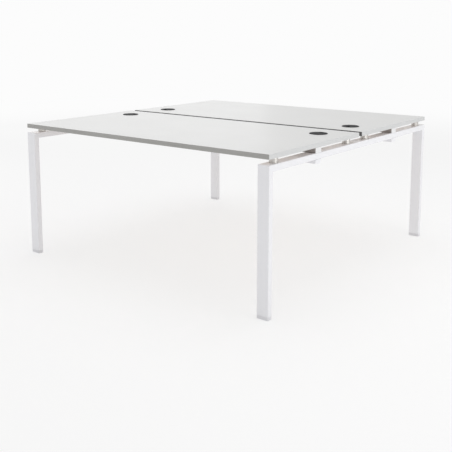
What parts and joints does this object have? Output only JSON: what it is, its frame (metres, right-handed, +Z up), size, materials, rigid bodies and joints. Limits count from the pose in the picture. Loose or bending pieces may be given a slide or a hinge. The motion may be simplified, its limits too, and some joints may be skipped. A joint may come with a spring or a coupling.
{
  "type": "benching desk",
  "caption": "Back-to-back benching desk: level tops on round spacers over portal leg frames, with under-top beams, turning cable grommet lids and screw-out levelling feet.",
  "frame": {"origin": "on the floor under the middle of the desk", "axes": "+X to the right along the width of the tops, +Y from the front user to the rear user, +Z up"},
  "size_m": [1.6, 1.63, 0.7275],
  "materials": {
    "light_grey_board": "light grey melamine faced chipboard, fine matt texture",
    "grey_edging": "mid grey ABS edging, satin",
    "white_steel": "white powder coat, satin with a fine orange peel",
    "grey_steel": "warm grey coat on steel, satin",
    "white_plastic": "white moulded plastic",
    "satin_spacer": "satin turned aluminium",
    "zinc_fastener": "bright zinc plating",
    "grey_plastic": "light grey moulded plastic",
    "black_plastic": "black moulded plastic, fine spark texture"
  },
  "bodies": {
    "desk": {"desktop_front": "light_grey_board", "edge_band_front": "grey_edging", "beam_front": "grey_steel", "desktop_rear": "light_grey_board", "edge_band_rear": "grey_edging", "beam_rear": "grey_steel", "left_crossbar": "white_steel", "left_front_leg": "white_steel", "left_rear_leg": "white_steel", "right_crossbar": "white_steel", "right_front_leg": "white_steel", "right_rear_leg": "white_steel", "beam_end_cap_front_left": "white_plastic", "clamp_block_front_left": "white_steel", "clamp_bolt_front_left": "zinc_fastener", "grommet_sleeve_front_left": "black_plastic", "spacer_front_left_outer": "satin_spacer", "spacer_screw_front_left_outer": "zinc_fastener", "spacer_front_left_inner": "satin_spacer", "spacer_screw_front_left_inner": "zinc_fastener", "beam_end_cap_front_right": "white_plastic", "clamp_block_front_right": "white_steel", "clamp_bolt_front_right": "zinc_fastener", "grommet_sleeve_front_right": "black_plastic", "spacer_front_right_outer": "satin_spacer", "spacer_screw_front_right_outer": "zinc_fastener", "spacer_front_right_inner": "satin_spacer", "spacer_screw_front_right_inner": "zinc_fastener", "beam_end_cap_rear_left": "white_plastic", "clamp_block_rear_left": "white_steel", "clamp_bolt_rear_left": "zinc_fastener", "grommet_sleeve_rear_left": "black_plastic", "spacer_rear_left_outer": "satin_spacer", "spacer_screw_rear_left_outer": "zinc_fastener", "spacer_rear_left_inner": "satin_spacer", "spacer_screw_rear_left_inner": "zinc_fastener", "beam_end_cap_rear_right": "white_plastic", "clamp_block_rear_right": "white_steel", "clamp_bolt_rear_right": "zinc_fastener", "grommet_sleeve_rear_right": "black_plastic", "spacer_rear_right_outer": "satin_spacer", "spacer_screw_rear_right_outer": "zinc_fastener", "spacer_rear_right_inner": "satin_spacer", "spacer_screw_rear_right_inner": "zinc_fastener", "foot_insert_left_front": "grey_plastic", "foot_insert_left_rear": "grey_plastic", "foot_insert_right_front": "grey_plastic", "foot_insert_right_rear": "grey_plastic"},
    "pad_left_front": {"foot_pad_left_front": "grey_plastic"},
    "stem_left_front": {"foot_stem_left_front": "zinc_fastener"},
    "pad_left_rear": {"foot_pad_left_rear": "grey_plastic"},
    "stem_left_rear": {"foot_stem_left_rear": "zinc_fastener"},
    "pad_right_front": {"foot_pad_right_front": "grey_plastic"},
    "stem_right_front": {"foot_stem_right_front": "zinc_fastener"},
    "pad_right_rear": {"foot_pad_right_rear": "grey_plastic"},
    "stem_right_rear": {"foot_stem_right_rear": "zinc_fastener"},
    "lid_front_left": {"grommet_lid_front_left": "black_plastic"},
    "lid_front_right": {"grommet_lid_front_right": "black_plastic"},
    "lid_rear_left": {"grommet_lid_rear_left": "black_plastic"},
    "lid_rear_right": {"grommet_lid_rear_right": "black_plastic"}
  },
  "joints": [
    {"name": "foot_slide_left_front", "type": "slide", "parent": "desk", "child": "pad_left_front", "axis": [0, 0, -1], "range_m": [0, 0.015]},
    {"name": "stem_turn_left_front", "type": "hinge", "parent": "pad_left_front", "child": "stem_left_front", "pos_m": [-0.77, -0.8, 0.03], "axis": [0, 0, -1], "range_deg": [0, 3600]},
    {"name": "foot_slide_left_rear", "type": "slide", "parent": "desk", "child": "pad_left_rear", "axis": [0, 0, -1], "range_m": [0, 0.015]},
    {"name": "stem_turn_left_rear", "type": "hinge", "parent": "pad_left_rear", "child": "stem_left_rear", "pos_m": [-0.77, 0.8, 0.03], "axis": [0, 0, -1], "range_deg": [0, 3600]},
    {"name": "foot_slide_right_front", "type": "slide", "parent": "desk", "child": "pad_right_front", "axis": [0, 0, -1], "range_m": [0, 0.015]},
    {"name": "stem_turn_right_front", "type": "hinge", "parent": "pad_right_front", "child": "stem_right_front", "pos_m": [0.77, -0.8, 0.03], "axis": [0, 0, -1], "range_deg": [0, 3600]},
    {"name": "foot_slide_right_rear", "type": "slide", "parent": "desk", "child": "pad_right_rear", "axis": [0, 0, -1], "range_m": [0, 0.015]},
    {"name": "stem_turn_right_rear", "type": "hinge", "parent": "pad_right_rear", "child": "stem_right_rear", "pos_m": [0.77, 0.8, 0.03], "axis": [0, 0, -1], "range_deg": [0, 3600]},
    {"name": "lid_turn_front_left", "type": "hinge", "parent": "desk", "child": "lid_front_left", "pos_m": [-0.653, -0.167, 0.725], "axis": [0, 0, 1], "continuous": true},
    {"name": "lid_turn_front_right", "type": "hinge", "parent": "desk", "child": "lid_front_right", "pos_m": [0.653, -0.167, 0.725], "axis": [0, 0, 1], "continuous": true},
    {"name": "lid_turn_rear_left", "type": "hinge", "parent": "desk", "child": "lid_rear_left", "pos_m": [-0.653, 0.167, 0.725], "axis": [0, 0, 1], "continuous": true},
    {"name": "lid_turn_rear_right", "type": "hinge", "parent": "desk", "child": "lid_rear_right", "pos_m": [0.653, 0.167, 0.725], "axis": [0, 0, 1], "continuous": true}
  ],
  "couplings": [
    {"joint": "stem_turn_left_front", "follows": "foot_slide_left_front", "rad_per_m": 4188.8},
    {"joint": "stem_turn_left_rear", "follows": "foot_slide_left_rear", "rad_per_m": 4188.8},
    {"joint": "stem_turn_right_front", "follows": "foot_slide_right_front", "rad_per_m": 4188.8},
    {"joint": "stem_turn_right_rear", "follows": "foot_slide_right_rear", "rad_per_m": 4188.8}
  ]
}
